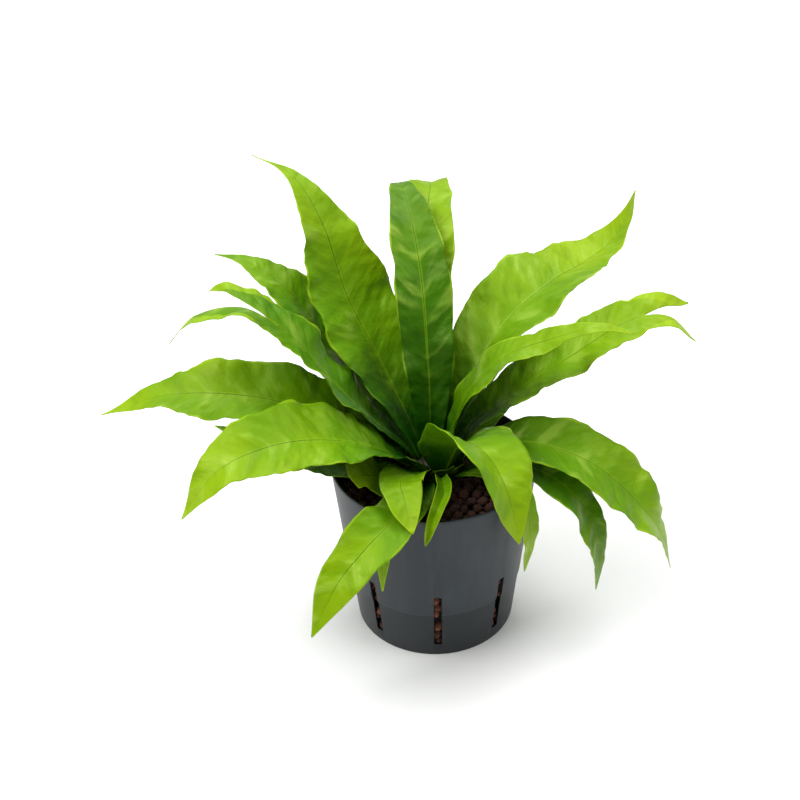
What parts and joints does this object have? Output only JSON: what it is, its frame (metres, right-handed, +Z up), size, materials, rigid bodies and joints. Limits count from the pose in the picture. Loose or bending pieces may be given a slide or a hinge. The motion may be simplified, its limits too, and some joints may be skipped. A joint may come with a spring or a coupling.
{
  "type": "potted bird's nest fern",
  "caption": "Potted Japanese bird's nest fern: long bright green strap fronds arch out of one crown in a slotted grey hydroculture pot of clay granules.",
  "frame": {"origin": "centre of the pot's flat underside, on the surface the pot stands on", "axes": "+Z up along the pot's axis, -Y towards the front of the plant as it is usually seen, +X to its right"},
  "size_m": [0.3639, 0.274, 0.2781],
  "materials": {
    "pot": "satin",
    "clay": "rough",
    "crown": "rough",
    "leaf_dark": "satin",
    "leaf_mid": "satin",
    "leaf_light": "satin"
  },
  "bodies": {
    "root": {"pot": "pot", "clay_granules": "clay", "crown": "crown", "frond_tall_left": "leaf_mid", "frond_back_left": "leaf_dark", "frond_forked_left": "leaf_dark", "frond_wide_left": "leaf_mid", "frond_front_left": "leaf_mid", "frond_under_left": "leaf_dark", "frond_crested_left": "leaf_mid", "frond_low_front": "leaf_mid", "frond_low_tip": "leaf_dark", "frond_front_small": "leaf_dark", "frond_front_curl": "leaf_mid", "frond_front_right": "leaf_mid", "frond_slim_right": "leaf_light", "frond_low_right": "leaf_dark", "frond_big_right": "leaf_mid", "frond_arch_right": "leaf_light", "frond_forked_right": "leaf_light", "frond_young_right": "leaf_dark", "frond_back_right": "leaf_light", "frond_centre_light": "leaf_light", "frond_centre_dark": "leaf_dark", "frond_rear_right": "leaf_dark", "frond_rear": "leaf_mid", "frond_rear_left": "leaf_dark", "frond_side_left": "leaf_dark"}
  },
  "joints": []
}
